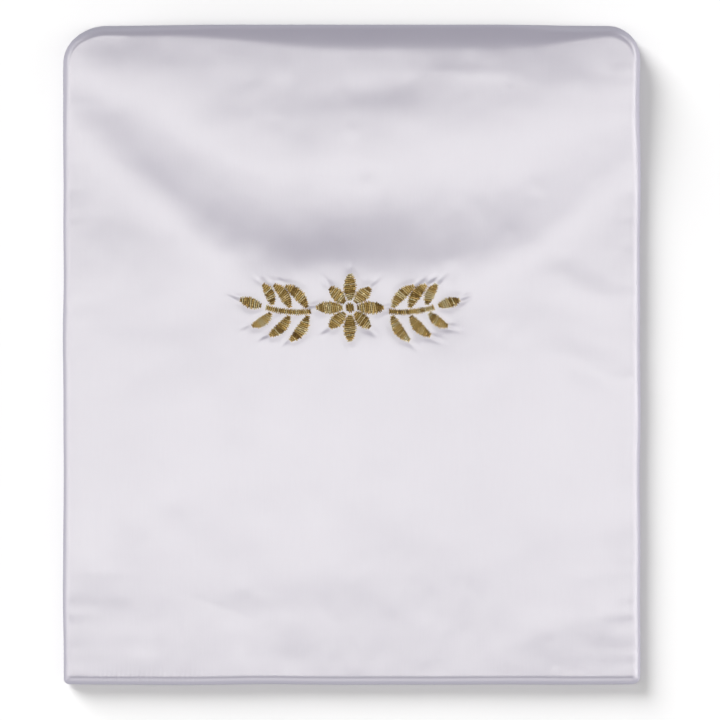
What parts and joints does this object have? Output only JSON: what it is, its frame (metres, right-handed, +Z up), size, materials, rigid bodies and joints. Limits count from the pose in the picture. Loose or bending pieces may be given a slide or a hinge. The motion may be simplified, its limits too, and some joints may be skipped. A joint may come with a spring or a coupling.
{
  "type": "afikoman cover",
  "caption": "Flat satin pouch for the afikoman matzah, open along one end, with rounded mouth corners, a hemmed lip and a raised gold embroidered rosette between leafy sprigs.",
  "frame": {"origin": "on the surface that the pouch lies on, under the middle of its outline", "axes": "+Y from the sewn bottom edge to the open mouth, +Z up out of the embroidered face, +X to the right as the ornament is seen from above"},
  "size_m": [0.23, 0.2626, 0.0118],
  "materials": {
    "satin": "white satin with a soft lilac cast and a broad sheen",
    "gold_thread": "old gold metallic embroidery thread laid in satin stitch"
  },
  "bodies": {
    "root": {"front_panel": "satin", "back_panel": "satin", "rosette_petal_1": "gold_thread", "rosette_petal_2": "gold_thread", "rosette_petal_3": "gold_thread", "rosette_petal_4": "gold_thread", "rosette_petal_5": "gold_thread", "rosette_petal_6": "gold_thread", "rosette_petal_7": "gold_thread", "rosette_petal_8": "gold_thread", "rosette_eye": "gold_thread", "left_stem": "gold_thread", "left_leaf_1": "gold_thread", "left_leaf_2": "gold_thread", "left_leaf_3": "gold_thread", "left_leaf_4": "gold_thread", "left_leaf_5": "gold_thread", "left_leaf_6": "gold_thread", "left_tip_leaf": "gold_thread", "right_stem": "gold_thread", "right_leaf_1": "gold_thread", "right_leaf_2": "gold_thread", "right_leaf_3": "gold_thread", "right_leaf_4": "gold_thread", "right_leaf_5": "gold_thread", "right_leaf_6": "gold_thread", "right_tip_leaf": "gold_thread"}
  },
  "joints": []
}
